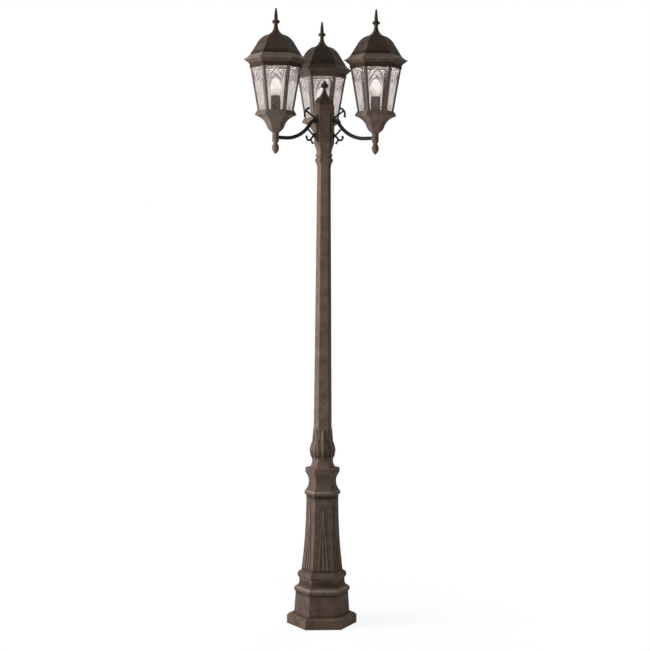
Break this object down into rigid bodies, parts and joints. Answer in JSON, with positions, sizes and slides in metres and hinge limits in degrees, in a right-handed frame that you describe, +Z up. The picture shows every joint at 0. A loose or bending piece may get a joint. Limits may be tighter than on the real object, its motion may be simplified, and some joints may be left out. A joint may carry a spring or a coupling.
{
  "type": "garden lamp post",
  "caption": "Traditional hexagonal cast lamp post with a stepped base, leaf collar and tapered pole, carrying glazed lanterns on scrolled arms round a hub.",
  "frame": {"origin": "centre of the foot's underside, on the axis of the post", "axes": "+Z up along the post; +Y towards the rear lantern, away from the picture's camera; +X to the picture's right"},
  "size_m": [0.612, 0.5301, 2.3388],
  "materials": {
    "cast_metal": "fine textured satin powder coat, rust brown",
    "dark_metal": "satin powder coat, dark bronze",
    "pane_glass": "pale seeded glass",
    "lamp_glass": "opal",
    "candle": "matte brown",
    "socket_shell": "moulded",
    "lamp_cap_metal": "bare rolled shell",
    "brass": "bare",
    "screws": "zinc plated",
    "black_screws": "black oxide",
    "lead_cover": "matte",
    "connector_shell": "moulded"
  },
  "bodies": {
    "post": {"base_casting": "cast_metal", "hub": "cast_metal", "lamp_leads": "lead_cover", "lamp_nipples": "brass", "lead_connectors": "connector_shell", "leaf_collar": "cast_metal", "left_arm": "dark_metal", "left_arm_scroll": "dark_metal", "left_cage_ribs": "cast_metal", "left_candle_sleeve": "candle", "left_cornice_ring": "cast_metal", "left_cup": "cast_metal", "left_drop_finial": "cast_metal", "left_glass_panes": "pane_glass", "left_lamp_socket": "socket_shell", "left_roof_strap": "screws", "lock_nuts": "brass", "pole": "cast_metal", "pole_capital": "cast_metal", "rear_arm": "dark_metal", "rear_arm_scroll": "dark_metal", "rear_cage_ribs": "cast_metal", "rear_candle_sleeve": "candle", "rear_cornice_ring": "cast_metal", "rear_cup": "cast_metal", "rear_drop_finial": "cast_metal", "rear_glass_panes": "pane_glass", "rear_lamp_socket": "socket_shell", "rear_roof_strap": "screws", "right_arm": "dark_metal", "right_arm_scroll": "dark_metal", "right_cage_ribs": "cast_metal", "right_candle_sleeve": "candle", "right_cornice_ring": "cast_metal", "right_cup": "cast_metal", "right_drop_finial": "cast_metal", "right_glass_panes": "pane_glass", "right_lamp_socket": "socket_shell", "right_roof_strap": "screws", "set_screws": "black_screws", "strap_screws": "screws"},
    "hub_cap": {"hub_cap": "cast_metal", "hub_finial": "cast_metal"},
    "rear_roof": {"rear_roof": "cast_metal"},
    "rear_finial": {"rear_top_finial": "cast_metal"},
    "rear_lamp": {"rear_lamp_cap": "lamp_cap_metal", "rear_lamp_glass": "lamp_glass"},
    "left_roof": {"left_roof": "cast_metal"},
    "left_finial": {"left_top_finial": "cast_metal"},
    "left_lamp": {"left_lamp_cap": "lamp_cap_metal", "left_lamp_glass": "lamp_glass"},
    "right_roof": {"right_roof": "cast_metal"},
    "right_finial": {"right_top_finial": "cast_metal"},
    "right_lamp": {"right_lamp_cap": "lamp_cap_metal", "right_lamp_glass": "lamp_glass"}
  },
  "joints": [
    {"name": "hub_cap_lift", "type": "slide", "parent": "post", "child": "hub_cap", "axis": [0, 0, 1], "range_m": [0, 0.05]},
    {"name": "rear_roof_lift", "type": "slide", "parent": "post", "child": "rear_roof", "axis": [0, 0, 1], "range_m": [0, 0.13]},
    {"name": "rear_finial_spin", "type": "hinge", "parent": "rear_roof", "child": "rear_finial", "pos_m": [0, 0.2155, 2.27], "axis": [0, 0, 1], "continuous": true},
    {"name": "rear_lamp_spin", "type": "hinge", "parent": "post", "child": "rear_lamp", "pos_m": [0, 0.2155, 2], "axis": [0, 0, 1], "continuous": true},
    {"name": "left_roof_lift", "type": "slide", "parent": "post", "child": "left_roof", "axis": [0, 0, 1], "range_m": [0, 0.13]},
    {"name": "left_finial_spin", "type": "hinge", "parent": "left_roof", "child": "left_finial", "pos_m": [-0.18663, -0.10775, 2.27], "axis": [0, 0, 1], "continuous": true},
    {"name": "left_lamp_spin", "type": "hinge", "parent": "post", "child": "left_lamp", "pos_m": [-0.18663, -0.10775, 2], "axis": [0, 0, 1], "continuous": true},
    {"name": "right_roof_lift", "type": "slide", "parent": "post", "child": "right_roof", "axis": [0, 0, 1], "range_m": [0, 0.13]},
    {"name": "right_finial_spin", "type": "hinge", "parent": "right_roof", "child": "right_finial", "pos_m": [0.18663, -0.10775, 2.27], "axis": [0, 0, 1], "continuous": true},
    {"name": "right_lamp_spin", "type": "hinge", "parent": "post", "child": "right_lamp", "pos_m": [0.18663, -0.10775, 2], "axis": [0, 0, 1], "continuous": true}
  ]
}
